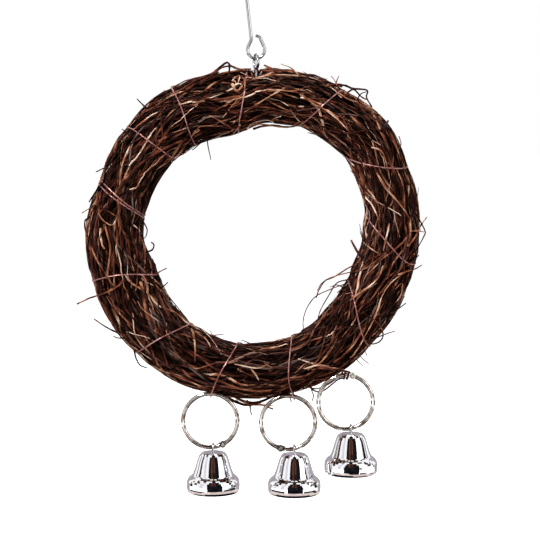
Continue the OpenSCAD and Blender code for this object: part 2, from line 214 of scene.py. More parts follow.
def on_bundle(around, front, r):
    """Point in the frame, for two angles in degrees and a distance from the bundle's middle in mm."""
    a, f = np.radians(around), np.radians(front)
    out = np.stack([np.cos(a), np.zeros_like(a), np.sin(a)], axis=-1)
    toward = np.stack([np.cos(f) * np.cos(a), -np.sin(f), np.cos(f) * np.sin(a)], axis=-1)
    middle_r = wreath_r + around_table(outline_leans, around) * MM
    return wreath_mid + out * middle_r[..., None] + toward * (r * MM)[..., None]


right_and_top, outer_edge = np.array([0.0, 90.0]), np.zeros(2)
edge = on_bundle(right_and_top, outer_edge, bundle_surface(right_and_top, outer_edge))
print("right edge and top in mm:", np.round(edge / MM, 1).tolist())
print(f"the twigs reach {DEPTH_HALF - bundle_r / MM:.1f} mm further forward than the solid vines")

# %% [markdown]
# ## Twigs
# A twig is thicker at its root, thins to its tip, bends a little at each bud and is never quite round. Curves with a
# bevel could draw it, but they can't change the section at each bud, so a tube is built ring by ring. Each ring is
# turned on from the last, so that the tube doesn't twist. Three values go with each corner: its place in the bark's
# grain, the twig's own shade and how grey it is. The bark's colour is mixed from them later.

# %% Tube of one twig
TWIG_SIDES = 6
SEED = 4712
SKEW = (0.31, 0.84, 0.45)  # a direction in which no twig starts
chance = np.random.default_rng(SEED)


def smooth_route(points, steps):
    """Points on a smooth line through the given ones, by the formula of Catmull and Rom."""
    points = np.asarray(points, float)
    padded = np.concatenate([2 * points[:1] - points[1:2], points, 2 * points[-1:] - points[-2:-1]])
    share = (np.arange(steps) / steps)[:, None]
    parts = []
    for i in range(len(points) - 1):
        a, b, c, d = padded[i : i + 4]
        bend = 2 * a - 5 * b + 4 * c - d + share * (3 * (b - c) + d - a)
        parts.append(b + 0.5 * share * (c - a + share * bend))
    return np.concatenate(parts + [points[-1:]])


def tube_corners(route, radii, sides, lumps):
    """Corners of a tube's rings, each turned on from the one before, with lumps as a share of the radius."""
    ahead = np.gradient(route, axis=0)
    ahead /= np.linalg.norm(ahead, axis=1, keepdims=True)
    turns = 2 * np.pi * np.arange(sides) / sides
    up = np.cross(ahead[0], SKEW)
    rings = []
    for place, way, r in zip(route, ahead, radii):
        up = up - way * (up @ way)
        up /= np.linalg.norm(up)
        across = np.cross(way, up)
        reach = r * (1 + lumps * chance.normal(size=sides))
        rings.append(place + np.outer(reach * np.cos(turns), up) + np.outer(reach * np.sin(turns), across))
    return np.concatenate(rings)


print("a smooth route of 3 points has", len(smooth_route([[0, 0, 0], [1, 0, 0], [1, 1, 0]], 4)), "points")

# %% Bundle of tubes that becomes one piece
NOISE_ROOM = 500  # mm of noise in which each tube gets a place of its own


class Bunch:
    """Tubes that are gathered into one mesh."""

    def __init__(self, sides=TWIG_SIDES):
        self.sides = sides
        self.corners, self.faces, self.grain, self.shade, self.grey = [], [], [], [], []
        self.count = 0

    def add(self, route, radii, shade=0.5, grey=0.0, lumps=0.07):
        """One tube along a route in metres, with a radius in metres for each point."""
        n, sides = len(route), self.sides
        self.corners.append(tube_corners(route, radii, sides, lumps))
        ring, side = np.meshgrid(np.arange(n - 1), np.arange(sides), indexing="ij")
        a, b = ring * sides + side, ring * sides + (side + 1) % sides
        self.faces += (np.stack([a, b, b + sides, a + sides], axis=-1).reshape(-1, 4) + self.count).tolist()
        self.faces.append([self.count + i for i in reversed(range(sides))])
        self.faces.append([self.count + (n - 1) * sides + i for i in range(sides)])
        along = np.concatenate([[0], np.cumsum(np.linalg.norm(np.diff(route, axis=0), axis=1))]) / MM
        turns = 2 * np.pi * np.arange(sides) / sides
        start = chance.uniform(0, NOISE_ROOM, size=3)
        self.grain.append(np.stack([
            start[0] + np.outer(radii / MM, np.cos(turns)).ravel(),
            start[1] + np.outer(radii / MM, np.sin(turns)).ravel(),
            start[2] + np.repeat(along, sides),
        ], axis=-1))
        self.shade.append(np.full(n * sides, shade))
        self.grey.append(np.full(n * sides, grey))
        self.count += n * sides

    def piece(self, name, slot, material):
        """The gathered tubes as one object that rides on the wreath."""
        mesh = bpy.data.meshes.new(name)
        mesh.from_pydata(np.concatenate(self.corners).tolist(), [], self.faces)
        mesh.polygons.foreach_set("use_smooth", [True] * len(mesh.polygons))
        for label, values in (("shade", self.shade), ("grey", self.grey)):
            mesh.attributes.new(label, "FLOAT", "POINT").data.foreach_set("value", np.concatenate(values))
        grain = mesh.attributes.new("grain", "FLOAT_VECTOR", "POINT")
        grain.data.foreach_set("vector", np.concatenate(self.grain).ravel())
        mesh.update()
        mesh.materials.append(material)
        piece = put(name, mesh)
        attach(piece, "wreath")
        print(name, len(self.corners), "tubes,", len(mesh.polygons), "faces")
        return piece


# %% [markdown]
# ## Finishes as sums
# A finish is a web of nodes, which is hard to read when every node and link is written out. So one small class stands
# for a node's output and knows sums: a product of two outputs adds the Math node for it. Any other node comes from
# one method, which sets the node's own settings first and then its sockets, with a number or a link in each.

# %% Outputs that can be summed


class Feed:
    """One output of a node in a finish."""

    def __init__(self, finish, socket):
        self.finish, self.socket = finish, socket

    def maths(self, operation, first, second):
        return self.finish.node("ShaderNodeMath", {"operation": operation}, {0: first, 1: second})

    def __add__(self, other):
        return self.maths("ADD", self, other)

    def __sub__(self, other):
        return self.maths("SUBTRACT", self, other)

    def __rsub__(self, other):
        return self.maths("SUBTRACT", other, self)

    def __mul__(self, other):
        return self.maths("MULTIPLY", self, other)

    __radd__, __rmul__ = __add__, __mul__


# %% Web of nodes


class Finish:
    """A material and the nodes in it."""

    def __init__(self, name):
        self.material = bpy.data.materials.new(name)
        self.material.use_nodes = True
        self.tree = self.material.node_tree
        self.shader = self.tree.nodes["Principled BSDF"]

    def node(self, kind, settings={}, sockets={}, out=0):
        """Adds a node with its settings and then its sockets, and gives one of its outputs."""
        node = self.tree.nodes.new(kind)
        for name, value in settings.items():
            if name == "stops":
                while len(node.color_ramp.elements) < len(value):
                    node.color_ramp.elements.new(0.5)
                for element, (place, colour) in zip(node.color_ramp.elements, value):
                    element.position, element.color = place, (*colour, 1)
            else:
                setattr(node, name, value)
        self.fill(node, sockets)
        return Feed(self, node.outputs[out])

    def fill(self, node, sockets):
        """Puts a number, a colour or a link into each socket."""
        for name, value in sockets.items():
            if isinstance(value, Feed):
                self.tree.links.new(value.socket, node.inputs[name])
            else:
                node.inputs[name].default_value = value

    def blend(self, first, second, mask):
        """Colour between two colours, by a mask from 0 to 1: a Mix node's colour sockets are 6 and 7."""
        pair = {0: mask, 6: first, 7: second}
        return self.node("ShaderNodeMix", {"data_type": "RGBA"}, pair, out=2)

    def ray(self, kind):
        """1 for rays of a kind, such as Camera or Glossy, and 0 for all others."""
        return self.node("ShaderNodeLightPath", out=f"Is {kind} Ray")

    def noise(self, places, scale, detail=3.0):
        return self.node("ShaderNodeTexNoise", {}, {"Vector": places, "Scale": scale, "Detail": detail})

    def stretched(self, places, sizes):
        return self.node("ShaderNodeVectorMath", {"operation": "MULTIPLY"}, {0: places, 1: sizes})

    def spread(self, value, low, high, new_low=0.0, new_high=1.0):
        """The value's range from low to high, moved to a new range and cut off there."""
        ends = {"From Min": low, "From Max": high, "To Min": new_low, "To Max": new_high}
        return self.node("ShaderNodeMapRange", {"clamp": True}, {"Value": value, **ends})

    def bump(self, height, strength, distance):
        return self.node("ShaderNodeBump", {}, {"Height": height, "Strength": strength, "Distance": distance})


# %% [markdown]
# ## Bark
# The twigs are stripped and dried vine. Their bark is nearly black in the hollows and red-brown where light falls, a
# few twigs are orange or straw-coloured, and some have weathered to grey. It is smooth enough for long pale glints.
# An image of bark would show seams and stretch at bends. Noise that is drawn out along each twig's own grain doesn't.

# %% Bark
# The palest stops are straw-coloured bark and also the cream of painted glints.
BARK_AND_GLINT_SHADES = [
    (0.0, (0.004, 0.0015, 0.001)), (0.22, (0.012, 0.004, 0.0025)), (0.42, (0.043, 0.011, 0.0078)),
    (0.58, (0.15, 0.042, 0.021)), (0.73, (0.34, 0.122, 0.064)), (0.87, (0.57, 0.3, 0.17)),
    (1.0, (0.85, 0.62, 0.49)),
]
WEATHERED, SCAR = (0.17, 0.115, 0.1, 1), (0.01, 0.005, 0.004, 1)


def bark(name, lift=0.0):
    """Bark in the shades of the list above, with the shade of each corner moved by lift. A negative lift darkens the
    bark as painted shade.
    """
    finish = Finish(name)
    grain = finish.node("ShaderNodeAttribute", {"attribute_name": "grain"}, out=1)
    shade = finish.node("ShaderNodeAttribute", {"attribute_name": "shade"}, out=2)
    grey = finish.node("ShaderNodeAttribute", {"attribute_name": "grey"}, out=2)
    streaks = finish.noise(finish.stretched(grain, (1.0, 1.0, 0.12)), 2.6)
    patches = finish.noise(finish.stretched(grain, (0.3, 0.3, 0.13)), 1.0, 2.0)
    specks = finish.noise(grain, 3.4, 2.0)
    tone = shade + (streaks - 0.5) * 0.5 + (patches - 0.5) * 1.5 + lift
    colour = finish.node("ShaderNodeValToRGB", {"stops": BARK_AND_GLINT_SHADES}, {"Fac": tone})
    weathered = finish.blend(colour, WEATHERED, grey * finish.spread(patches, 0.4, 0.62, 0.1, 0.9))
    scarred = finish.blend(weathered, SCAR, finish.spread(specks, 0.64, 0.72, 0, 0.7))
    height = streaks * 0.7 + specks * 0.3
    finish.fill(finish.shader, {
        "Base Color": scarred,
        "Roughness": finish.spread(patches, 0.35, 0.65, 0.5, 0.27),
        "Specular IOR Level": 0.045,
        "Specular Tint": (1.0, 0.74, 0.62, 1),
        "Normal": finish.bump(height, 0.35, 0.1 * MM),
    })
    return finish.material


twig_bark = bark("twig_bark")
# The heart's bark is darkened by a further 0.3 of a shade: painted shade for the depth of the bundle.
heart_bark_painted_shade = bark("heart_bark_painted_shade", -0.3)
pale_bark = bark("pale_bark")
print("bark with", len(twig_bark.node_tree.nodes), "nodes")

# %% [markdown]
# ## Heart of the bundle
# Deep between the twigs the eye meets more twigs, in shadow. They could all be modelled, but they would only be seen
# through gaps. So the heart is a rope of thick dark stems that wind round the wreath side by side, set far enough in
# that gaps between the outer twigs stay deep. Its bark is darker still and a black rope fills its middle: both are
# painted shade for the hollows.

# %% Heart of thick stems
heart = Bunch()
STEMS, STEM_SLANT = 17, 0.32
STEM_R, STEM_DEPTH, FILLING_R = 1.75, 4.4, 8.2  # mm
for stem in range(STEMS):
    around = np.arange(0, 367, 3.0)
    phase = chance.uniform(0, 360)
    front = 360 * stem / STEMS + STEM_SLANT * around + 5 * np.sin(np.radians(3 * around + phase))
    stem_r = STEM_R + 0.25 * np.sin(np.radians(5 * around + phase))
    top = bundle_surface(around, front) - STEM_DEPTH + 0.5 * np.sin(np.radians(4 * around + 2 * phase))
    heart.add(on_bundle(around, front, top - stem_r), stem_r * MM, chance.uniform(0.05, 0.3))
around = np.arange(0, 361, 5.0)
# The rope in the middle has the darkest shade: painted shade, so that the gaps show black.
heart.add(on_bundle(around, 0 * around, 0 * around), np.full(len(around), FILLING_R * MM), 0.0, lumps=0.02)
heart_piece = heart.piece("wreath_heart", "dark_vine", heart_bark_painted_shade)
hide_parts("vine_core", "vine_1", "vine_2", "vine_3", "vine_4")

# %% [markdown]
# ## Wound twigs
# On the real wreath handfuls of twigs are laid along the ring, each a little further on, and twisted lightly. So they
# run mostly along the wreath, cross at small angles, rise and sink among each other, and end anywhere. Each twig gets
# a random start, length and slant, and slow waves sideways and in depth. At the hung rings they keep clear.

# %% Waves and room for the rings


def waves(around, periods, sizes):
    """Sum of a few waves with random starts, for each angle round the wreath."""
    total = np.zeros(len(around))
    for period, size in zip(periods, sizes):
        total += size * chance.normal() * np.sin(2 * np.pi * (around / period + chance.uniform()))
    return total


def to_heart(route):
    """Directions from points to the circle in the bundle's middle."""
    out = route - wreath_mid
    circle = np.hypot(out[:, 0], out[:, 2])[:, None]
    inward = wreath_mid + out * [1, 0, 1] * (wreath_r / circle) - route
    return inward / np.linalg.norm(inward, axis=1, keepdims=True)


RING_ROOM, PUSH = 0.25 * MM, 2.2


def keep_off_rings(route, twig_r):
    """Moves the points that come too near a hung ring's wire back towards the bundle's middle."""
    route = route.copy()
    for mid, r in zip(ring_mids, ring_rs):
        flat = route - mid
        reach = np.hypot(flat[:, 0], flat[:, 2])
        apart = np.hypot(reach - r, flat[:, 1])
        short = np.clip(ring_wire_r + twig_r + RING_ROOM - apart, 0, None)
        route += to_heart(route) * (PUSH * short)[:, None]
    return route


print("three waves at one angle:", np.round(waves(np.array([40.0]), (90, 40, 17), (14, 6, 2)), 2))

# %% One wound twig
STEP = 3.1  # degrees along the wreath between a twig's rings
BUD_CHANCE, BUD_SWELL, TAPER = 0.16, 1.28, 0.62
eye_steps = (eye_around + np.array([-3.2, -2.1, -1.2, 0, 1.2, 2.1, 3.2]) + np.array([[0], [360]])).ravel()


def wind(bunch, length, slant, depth, root_r, shade, grey=0.0, sway=1.0, fine=1.0):
    """Adds one twig: length in degrees, slant as its turn round the bundle for each degree along, depth and root
    radius in mm, and the size of its waves and of the shortest. Near the screw eye it gets more points."""
    start, front = chance.uniform(0, 360), chance.uniform(0, 360)
    around = start + (np.arange(0, length, STEP) if length > 4 * STEP else np.linspace(0, length, 5))
    extra = eye_steps[(eye_steps > around[0] + 1) & (eye_steps < around[-1] - 1)]
    if len(extra):
        far = np.abs(around[:, None] - extra).min(axis=1) > 0.9
        around = np.sort(np.concatenate([around[far], extra]))
    share = (around - around[0]) / (around[-1] - around[0])
    toward = front + slant * (around - start) + sway * waves(around, (105, 39, 17), (9, 6.5, 2.6 * fine))
    buds = chance.random(len(around)) < BUD_CHANCE
    radii = root_r * (1 - TAPER * share**1.3) * np.where(buds, BUD_SWELL, 1)
    sink = depth + sway * waves(around, (62, 27), (0.75, 0.6)) + np.where(share > 0.9, chance.normal() * 0.8, 0)
    r = bundle_surface(around, toward) - radii - np.clip(sink, 0, None)
    route = on_bundle(around, toward + 1.2 * buds * chance.normal(), r)
    bunch.add(keep_off_rings(route, root_r * MM), radii * MM, shade, grey)


SHADES, SHADE_CHANCES = (0.12, 0.27, 0.42, 0.58, 0.76, 0.92), (0.28, 0.3, 0.22, 0.12, 0.055, 0.025)


def twig_shade():
    """A twig's own shade: most are dark, and few are orange or straw-coloured."""
    return float(np.clip(chance.choice(SHADES, p=SHADE_CHANCES) + chance.normal() * 0.05, 0, 1))


print("shades of five twigs:", [round(twig_shade(), 2) for _ in range(5)])

# %% Middle layer
MIDDLE_TWIGS = 130
# Its twigs get 0.7 of a twig's shade: painted shade for lying under the outer layers.
middle = Bunch()
for _ in range(MIDDLE_TWIGS):
    wind(middle, length=chance.uniform(80, 220), slant=chance.normal() * 0.6, depth=chance.uniform(1.8, 3.6),
         root_r=chance.uniform(0.55, 1.1), shade=0.7 * twig_shade())
middle.piece("twigs_middle", "dark_vine", twig_bark)

# %% Outer layers
LAYER_TWIGS = 105
for number in (1, 2, 3, 4):
    outer = Bunch()
    for _ in range(LAYER_TWIGS):
        wind(outer, length=chance.uniform(45, 170), slant=chance.normal() * 0.95, depth=chance.uniform(0.2, 2.1),
             root_r=chance.uniform(0.36, 0.8), shade=twig_shade(), grey=max(0, chance.normal() * 0.6 - 0.3))
    piece = outer.piece(f"twigs_outer_{number}", "vine", twig_bark)
    if number == 1:
        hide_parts("vine_5", "vine_6", "vine_7", "vine_8")

# %% Long smooth twigs on top
LONG_TWIGS = 50
long_ones = Bunch()
for _ in range(LONG_TWIGS):
    wind(long_ones, length=chance.uniform(60, 170), slant=chance.normal() * 0.8, depth=chance.uniform(0, 0.5),
         root_r=chance.uniform(0.5, 0.85), shade=chance.choice([0.3, 0.42, 0.52, 0.62]) + chance.normal() * 0.04,
         fine=0.2)
long_ones.piece("twigs_long", "vine", twig_bark)

# %% Crossing and thin twigs, and painted glints
CROSSING_TWIGS, THIN_TWIGS, PAINTED_GLINT_BITS = 120, 170, 110
crossing = Bunch()
for _ in range(CROSSING_TWIGS):
    wind(crossing, length=chance.uniform(14, 42), slant=chance.choice([-1, 1]) * chance.uniform(1.5, 3.6),
         depth=chance.uniform(0, 0.7), root_r=chance.uniform(0.34, 0.66), shade=twig_shade() + 0.06, sway=1.1)
for _ in range(THIN_TWIGS):
    wind(crossing, length=chance.uniform(12, 50), slant=chance.normal() * 1.6, depth=chance.uniform(-0.2, 0.9),
         root_r=chance.uniform(0.2, 0.36), shade=twig_shade() + 0.05, grey=max(0, chance.normal() * 0.5), sway=1.3)
# Short thin bits in the palest shades are painted glints: they stand for glints of light along the twigs.
for _ in range(PAINTED_GLINT_BITS):
    wind(crossing, length=chance.uniform(5, 22), slant=chance.normal() * 2.4, depth=chance.uniform(-0.3, 0.4),
         root_r=chance.uniform(0.15, 0.27), shade=chance.uniform(0.8, 1.08), sway=1.2)
crossing.piece("twigs_crossing", "vine", twig_bark)

# %% [markdown]
# ## Twigs that the eye picks out
# Some twigs give this wreath its face: the bright ones on the front and the loose ends that stick out of its outline.
# Their places are read from the photograph, in its pixels. A ray through each pixel meets the bundle's front, so a
# twig on the face lies on the bundle from every side. Beyond the outline a twig lies near the wreath's middle plane.

# %% From a pixel to the bundle
SETTLE_ROUNDS = 12
camera_turn = np.array(camera.rotation_euler.to_matrix())
per_pixel = camera_data.sensor_width / camera_data.lens / PICTURE


def seen(px, py, lift=0.0, beyond=0.0):
    """Point on the bundle's front under a pixel, lift mm above it, or beyond mm in front of the middle plane."""
    ray = camera_turn @ np.array([(px - PICTURE / 2) * per_pixel, (PICTURE / 2 - py) * per_pixel, -1])
    y = -beyond * MM
    for _ in range(SETTLE_ROUNDS):
        place = camera_place + ray * ((wreath_mid[1] + y - camera_place[1]) / ray[1])
        x, z = place[0] - wreath_mid[0], place[2] - wreath_mid[2]
        around = np.degrees(np.arctan2(z, x))
        middle_r = wreath_r + around_table(outline_leans, around) * MM
        half = around_table(outline_halves, around)
        off = (math.hypot(x, z) - middle_r) / MM / half
        depth = (DEPTH_HALF + lift) * math.sqrt(max(0, 1 - off * off))
        y = -max(depth, beyond) * MM
    return place


DIVE_SHARE, THIN_SHARE = 0.16, 0.2  # parts of a twig's length that go under and that thin


def placed(bunch, pixels, width, shade, lift=0.2, beyond=0.0, tip=0.45, dive=0.0):
    """Adds a twig along a row of pixels: width in mm, its tip's share of that, and how many mm its ends dive."""
    route = smooth_route([seen(px, py, lift, beyond) for px, py in pixels], 5)
    share = np.linspace(0, 1, len(route))
    under = np.clip(1 - share / DIVE_SHARE, 0, 1) ** 2 + np.clip(1 - (1 - share) / DIVE_SHARE, 0, 1) ** 2
    route = route + to_heart(route) * (dive * under * MM)[:, None]
    radii = width / 2 * (1 - (1 - tip) * share) * np.where(chance.random(len(route)) < 0.12, 1.2, 1)
    radii = radii * (1 - 0.4 * np.clip(1 - share / THIN_SHARE, 0, 1)) if dive else radii
    bunch.add(keep_off_rings(route, width / 2 * MM), radii * MM, shade)


print("under the middle of the left side:", np.round(seen(116, 235) / MM, 1))

# %% Bright twigs on the face
# Width in mm, shade, and pixels on the twig from its root to its tip.
FACE_TWIGS = [
    (1.7, 0.55, [(118, 199), (119, 211), (121, 223), (125, 236), (128, 246)]),
    (0.9, 0.78, [(98, 207), (100, 216), (105, 222), (112, 225), (116, 220)]),
    (0.9, 0.7, [(94, 204), (102, 208), (111, 213), (116, 216)]),
    (1.0, 0.82, [(129, 190), (137, 187), (140, 181), (146, 172)]),
    (1.1, 0.66, [(124, 231), (128, 241), (130, 253), (132, 264), (135, 272)]),
    (0.9, 0.76, [(117, 227), (117, 240), (116, 249), (117, 257)]),
    (1.0, 0.64, [(138, 232), (143, 243), (145, 254), (145, 262)]),
    (1.3, 0.74, [(91, 246), (95, 256), (101, 267), (107, 277), (114, 287)]),
    (1.1, 0.64, [(105, 224), (101, 234), (96, 245)]),
    (1.5, 0.86, [(143, 275), (147, 285), (149, 298), (154, 309)]),
    (1.2, 0.4, [(320, 130), (349, 133), (371, 129), (387, 131)]),
    (1.1, 0.76, [(372, 147), (381, 151), (386, 162), (390, 179)]),
    (1.6, 0.66, [(377, 173), (386, 188), (398, 202), (412, 220)]),
    (1.1, 0.62, [(366, 188), (374, 197), (379, 208), (380, 223)]),
    (1.2, 0.88, [(364, 196), (372, 205), (380, 222)]),
    (1.3, 0.8, [(390, 222), (386, 239), (383, 251)]),
    (0.9, 0.92, [(361, 240), (370, 248), (381, 255)]),
    (1.5, 0.86, [(349, 300), (366, 289), (378, 278), (383, 266)]),
    (1.2, 0.8, [(366, 336), (377, 312), (383, 294), (394, 280), (410, 270)]),
    (0.8, 0.5, [(334, 300), (332, 307), (338, 321)]),
    (1.0, 0.6, [(403, 283), (401, 294), (396, 303)]),
    (1.2, 0.62, [(180, 333), (193, 338), (209, 347), (225, 351)]),
    (1.5, 0.7, [(192, 328), (195, 345), (195, 362)]),
    (1.0, 0.8, [(195, 330), (205, 338), (211, 347)]),
    (1.1, 0.8, [(235, 364), (248, 367), (259, 368), (268, 364)]),
    (0.9, 0.7, [(251, 369), (256, 375), (259, 381)]),
    (1.2, 0.64, [(227, 387), (241, 389), (256, 391), (272, 391)]),
    (1.2, 0.62, [(170, 374), (180, 378), (193, 383), (205, 388)]),
    (1.3, 0.68, [(259, 349), (277, 347), (288, 343)]),
    (1.4, 0.84, [(304, 369.5), (315, 365.7), (327, 367), (339, 369), (347, 369.5)]),
    (1.2, 0.56, [(308, 371), (320, 357), (333, 340), (342, 330)]),
    (1.2, 0.76, [(365, 336), (359, 347), (350, 359)]),
    (1.2, 0.5, [(200, 94), (215, 83), (232, 77), (252, 75)]),
    (1.4, 0.46, [(257, 90), (271, 84), (283, 78)]),
    (1.0, 0.76, [(264, 92), (278, 90), (295, 91), (310, 85)]),
    (1.2, 0.74, [(300, 92), (312, 103), (324, 109), (337, 119), (348, 130)]),
    (1.0, 0.62, [(250, 108), (265, 107), (278, 110), (292, 112)]),
    (0.9, 0.66, [(213, 112), (223, 106), (234, 100)]),
    (1.0, 0.58, [(265, 99), (280, 107), (298, 114), (315, 115)]),
    (1.0, 0.74, [(326, 109), (337, 117), (344, 130)]),
    (1.0, 0.7, [(338, 92), (348, 99), (361, 103)]),
]
# Width in mm, shade and pixels of bits of an ochre knot by the screw eye. The bit of shade 0.98 is a painted
# highlight streak, and the bit of shade 0.9 a painted orange glint.
KNOT_AND_GLINTS = [
    (0.9, 0.8, [(232.5, 81), (235, 77.5), (238, 75.8), (241.5, 75.8)]),
    (0.8, 0.98, [(240, 77), (239, 79.5), (238, 82.5)]),
    (1.4, 0.8, [(232.5, 84), (234, 88), (236.5, 90.8), (240, 88.8), (242.5, 85.5)]),
    (1.2, 0.9, [(234.5, 85.8), (238, 83.6), (241.5, 84.5)]),
    (0.9, 0.75, [(244, 78), (245, 84), (244, 90.5)]),
    (0.8, 0.85, [(233, 80), (236, 82.5), (234.5, 85.5)]),
    (0.7, 0.7, [(236, 78), (240, 81), (243, 86)]),
]
FACE_SLIMMER = 0.85  # the widths that were read are a little too wide
face = Bunch()
for width, shade, pixels in FACE_TWIGS:
    placed(face, pixels, FACE_SLIMMER * width, shade, dive=0.9)
for width, shade, pixels in KNOT_AND_GLINTS:
    placed(face, pixels, width, shade, lift=chance.uniform(0.6, 1.5))
face.piece("twigs_bright", "pale_vine", pale_bark)

# %% [markdown]
# ## Loose ends
# What makes the outline look like a wreath of twigs is what leaves it: an arch of thin twigs at the top, a tangle at
# the right, single whiskers, cut stubs and long arcs on the inside. Each starts or ends inside the bundle.

# %% Loose ends round the outline
# Width in mm, shade, mm in front of the middle plane, and pixels from the root to the tip.
LOOSE = [
    (1.2, 0.42, 3, [
        (186, 88), (199, 79), (212, 73.5), (221, 66.5), (227, 62.5), (230.5, 65.5), (238, 69), (251, 69),
    ]),
    (1.0, 0.42, 1, [(205, 79), (213, 75.5), (220, 68.5), (230, 66), (238, 68.5), (247, 71)]),
    (1.1, 0.3, 2, [(229, 65.5), (229.5, 69), (228.5, 76)]),
    (1.1, 0.45, 2, [(200, 85), (212, 78.5), (222, 73.5), (232, 71.5), (243, 71), (253, 72)]),
    (0.9, 0.5, 3, [(186, 90), (198, 83), (210, 77), (219, 72)]),
    (1.2, 0.45, 2, [(260.5, 70), (271, 71), (289, 70.2), (301, 74.3), (315, 75.5), (330, 82.5), (342, 87)]),
    (1.3, 0.35, 4, [(276, 72), (269, 67.5), (264, 65)]),
    (0.6, 1.0, 2, [(247, 130), (250.5, 124.5), (259.5, 121), (268.5, 120.3), (274, 122.5)]),
    (1.1, 0.42, 3, [(253, 129), (262, 126.4), (274, 125.4), (285, 127), (295, 126), (303, 121)]),
    (0.7, 0.6, 4, [(251, 127), (258, 124.5), (267, 124.8), (279, 127), (290, 127), (299, 122)]),
    (0.6, 0.7, 2, [(300, 76), (291, 68), (281, 64)]),
    (0.5, 0.6, 2, [(337, 87), (335, 81), (331, 76)]),
    (0.5, 0.5, 3, [(336, 84), (337, 80), (339, 76)]),
    (1.0, 0.42, 2, [
        (326, 86), (336, 84.5), (345, 85.5), (353, 88.5), (365, 89.6), (367.6, 92), (366.5, 97.6), (372, 107),
    ]),
    (0.9, 0.4, 4, [(345, 94), (349, 91.5), (354, 89.6), (361, 96.4), (366, 99.5)]),
    (0.6, 0.4, 3, [(357, 100), (360.7, 94), (366.5, 91.8)]),
    (1.4, 0.15, 1, [(381, 131), (385, 126), (388, 121)]),
    (0.5, 0.5, 1, [(398, 150), (401, 144), (399, 136)]),
    (0.7, 0.2, 2, [(146, 108), (141, 103), (137, 99)]),
    (0.6, 0.3, 1, [(131, 136), (126, 132), (122, 129)]),
    (0.7, 0.3, 2, [(113, 170), (105, 168), (96, 172)]),
    (1.0, 0.1, 3, [(104, 182), (97, 190), (89, 202)]),
    (0.7, 0.55, 5, [(112, 192), (101, 200), (93, 206), (82, 213)]),
    (0.8, 0.15, 2, [(90, 217), (85, 221), (85, 229), (88, 237)]),
    (0.6, 0.2, 3, [(207, 136), (208, 146), (211, 160)]),
    (0.6, 0.35, 2, [(143, 221), (147, 229), (146, 236), (142, 240)]),
    (0.9, 0.1, 3, [(146, 252), (152, 250), (154, 245), (151, 242)]),
    (0.6, 0.4, 2, [(156, 274), (161, 271), (167, 268)]),
    (0.6, 0.3, 2, [(160, 288), (165, 285), (168, 282)]),
    (1.0, 0.45, 4, [(125, 279), (118, 286), (105, 293), (90, 298), (77, 304)]),
    (0.8, 0.3, 3, [(118, 333), (106, 327), (94, 319)]),
    (0.6, 0.4, 2, [(124, 338), (118, 338), (113, 336)]),
    (0.8, 0.25, 3, [(134, 350), (136, 358), (140, 365), (147, 368)]),
    (0.9, 0.6, 4, [(408, 246), (416, 236), (421, 225), (427, 217)]),
    (0.7, 0.3, 3, [(412, 208), (419, 219), (425, 231), (424, 236), (417, 249), (412, 256)]),
    (0.6, 0.75, 2, [(410, 231), (418, 231), (424, 232)]),
    (0.7, 0.4, 2, [(408, 266), (413, 261), (419, 255)]),
    (0.8, 0.6, 3, [(398, 275), (408, 271), (415, 269), (422, 265)]),
    (0.7, 0.3, 3, [(391, 313), (398, 309), (406, 303)]),
    (0.6, 0.35, 4, [(370, 340), (378, 337), (386, 334), (395, 331)]),
    (0.8, 0.4, 3, [(362, 312), (374, 320), (381, 328), (383, 336), (379, 342), (371, 344), (366, 340)]),
    (0.4, 0.2, 2, [(352, 354), (357, 360), (363, 366)]),
    (0.4, 0.3, 3, [(357, 352), (363, 359), (369, 364)]),
    (0.4, 0.3, 1, [(362, 345), (365, 351), (367, 356)]),
    (0.7, 0.45, 3, [(389, 251), (372, 258), (352, 266), (334, 277), (325, 281), (319, 290), (316, 298)]),
    (0.6, 0.6, 5, [(386, 253), (366, 268), (347, 273), (332, 277), (322, 283), (317, 291)]),
    (0.6, 0.35, 2, [(350, 279), (337, 283), (329, 295), (321, 309), (318, 318)]),
    (0.5, 0.3, 4, [(345, 284), (331, 289), (315, 297), (306, 310), (303, 324), (306, 336)]),
    (0.5, 0.3, 1, [(344, 288), (337, 285), (330, 287)]),
    (1.5, 0.3, 3, [(363, 259), (357, 251), (351, 240)]),
    (0.8, 0.25, 2, [(247, 400), (250, 406), (250.4, 410), (251.6, 415)]),
    (1.4, 0.25, 2, [(220, 394), (234, 401), (246, 405), (257, 403.5), (272, 397)]),
    (1.2, 0.35, 4, [(226, 391), (240, 399.5), (252, 402.5), (264, 400), (281, 392)]),
    (1.2, 0.7, 5, [(236, 398), (250, 404), (262, 405), (273, 409)]),
    (0.6, 0.75, 5, [(258, 404), (266, 405), (274, 406)]),
    (0.7, 0.4, 9, [(291, 386), (291.6, 392), (290.4, 397), (291.2, 402)]),
    (0.7, 0.45, 4, [(343, 372), (337, 378), (327, 385), (316.5, 388.7), (308, 387)]),
    (0.6, 0.3, 6, [(311, 384), (311.6, 390), (313.5, 396), (312, 401)]),
]
LOOSE_WIDER = 0.15  # mm, as widths read against the white ground are a little too thin
loose = Bunch()
for width, shade, beyond, pixels in LOOSE:
    placed(loose, pixels, width + LOOSE_WIDER, shade + 0.04, lift=0.3, beyond=beyond, tip=0.6)
print("loose ends that the photograph shows:", len(LOOSE))

# %% [markdown]
# The photograph only shows the outline from the front. From the side and the back the real wreath bristles as much,
# so more whiskers are scattered there: each one leaves the bundle at a low angle. There are none where the rings
# hang, and none sticks out far.

